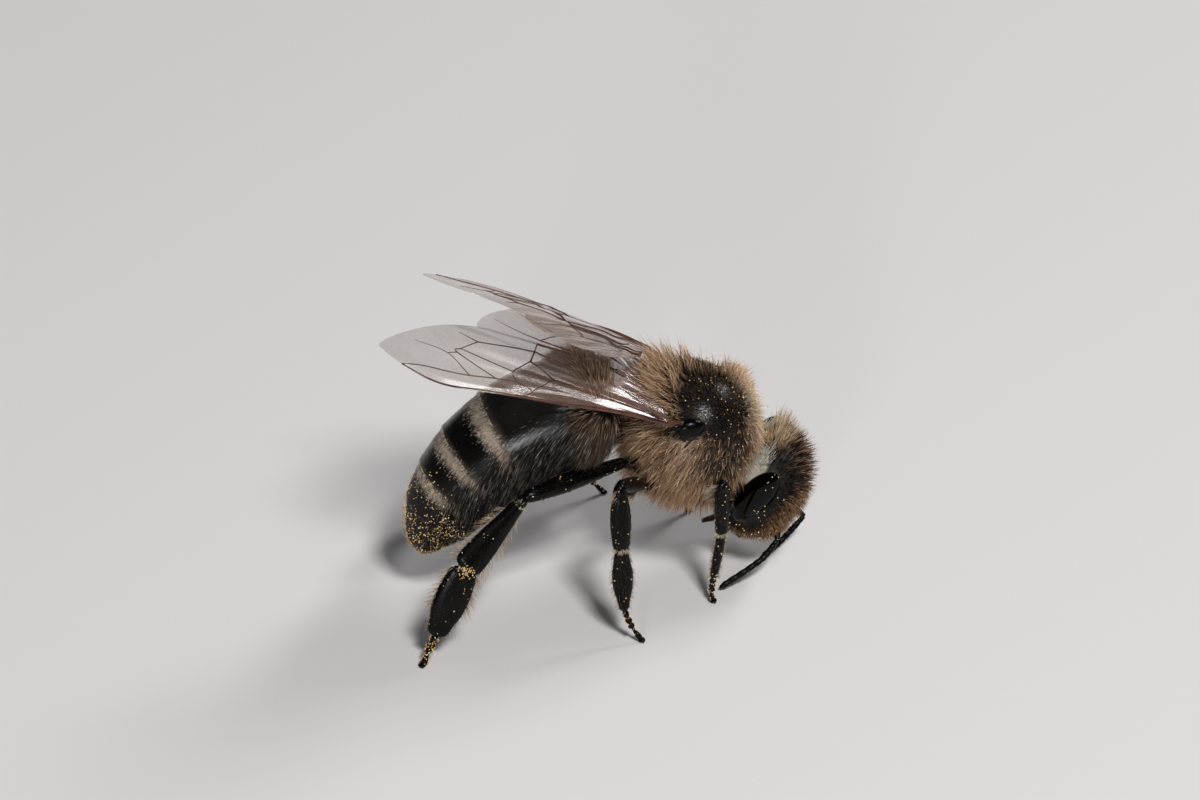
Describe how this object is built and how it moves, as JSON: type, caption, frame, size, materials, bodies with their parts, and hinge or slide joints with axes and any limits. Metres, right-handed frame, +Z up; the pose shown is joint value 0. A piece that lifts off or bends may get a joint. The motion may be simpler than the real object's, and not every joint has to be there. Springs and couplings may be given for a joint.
{
  "type": "honey bee worker, still life-size model",
  "caption": "Life-size still model of a dark honey bee worker standing on six feet, wings raised and folded back, abdomen arched down, head lowered.",
  "frame": {"origin": "middle of the bounding box, at the level of the six feet", "axes": "+X the way the bee heads, +Y to its left, +Z up from the surface it stands on"},
  "size_m": [0.0138, 0.0086, 0.0122],
  "materials": {
    "black_shell": "glossy black insect shell",
    "dark_coat": "grey-brown hair over a black shell",
    "banded_coat": "black shell with pale felt bands and short hair",
    "eye_gloss": "glossy black compound eye",
    "wing_membrane": "clear smoky membrane with brown veins",
    "neck_skin": "pale matt skin of the neck"
  },
  "bodies": {
    "root": {"abdomen_1": "banded_coat", "abdomen_2": "banded_coat", "abdomen_3": "banded_coat", "abdomen_4": "banded_coat", "abdomen_5": "banded_coat", "abdomen_6": "banded_coat", "antenna_left_flagellum": "black_shell", "antenna_left_scape": "black_shell", "antenna_right_flagellum": "black_shell", "antenna_right_scape": "black_shell", "eye_left": "eye_gloss", "eye_right": "eye_gloss", "front_left_basitarsus": "black_shell", "front_left_coxa": "black_shell", "front_left_femur": "black_shell", "front_left_tarsus": "black_shell", "front_left_tibia": "black_shell", "front_right_basitarsus": "black_shell", "front_right_coxa": "black_shell", "front_right_femur": "black_shell", "front_right_tarsus": "black_shell", "front_right_tibia": "black_shell", "head": "dark_coat", "hind_left_basitarsus": "black_shell", "hind_left_coxa": "black_shell", "hind_left_femur": "black_shell", "hind_left_tarsus": "black_shell", "hind_left_tibia": "black_shell", "hind_right_basitarsus": "black_shell", "hind_right_coxa": "black_shell", "hind_right_femur": "black_shell", "hind_right_tarsus": "black_shell", "hind_right_tibia": "black_shell", "mandible_left": "black_shell", "mandible_right": "black_shell", "mid_left_basitarsus": "black_shell", "mid_left_coxa": "black_shell", "mid_left_femur": "black_shell", "mid_left_tarsus": "black_shell", "mid_left_tibia": "black_shell", "mid_right_basitarsus": "black_shell", "mid_right_coxa": "black_shell", "mid_right_femur": "black_shell", "mid_right_tarsus": "black_shell", "mid_right_tibia": "black_shell", "neck": "neck_skin", "petiole": "black_shell", "proboscis": "black_shell", "thorax": "dark_coat", "wing_fore_left": "wing_membrane", "wing_fore_right": "wing_membrane", "wing_hind_left": "wing_membrane", "wing_hind_right": "wing_membrane"}
  },
  "joints": []
}
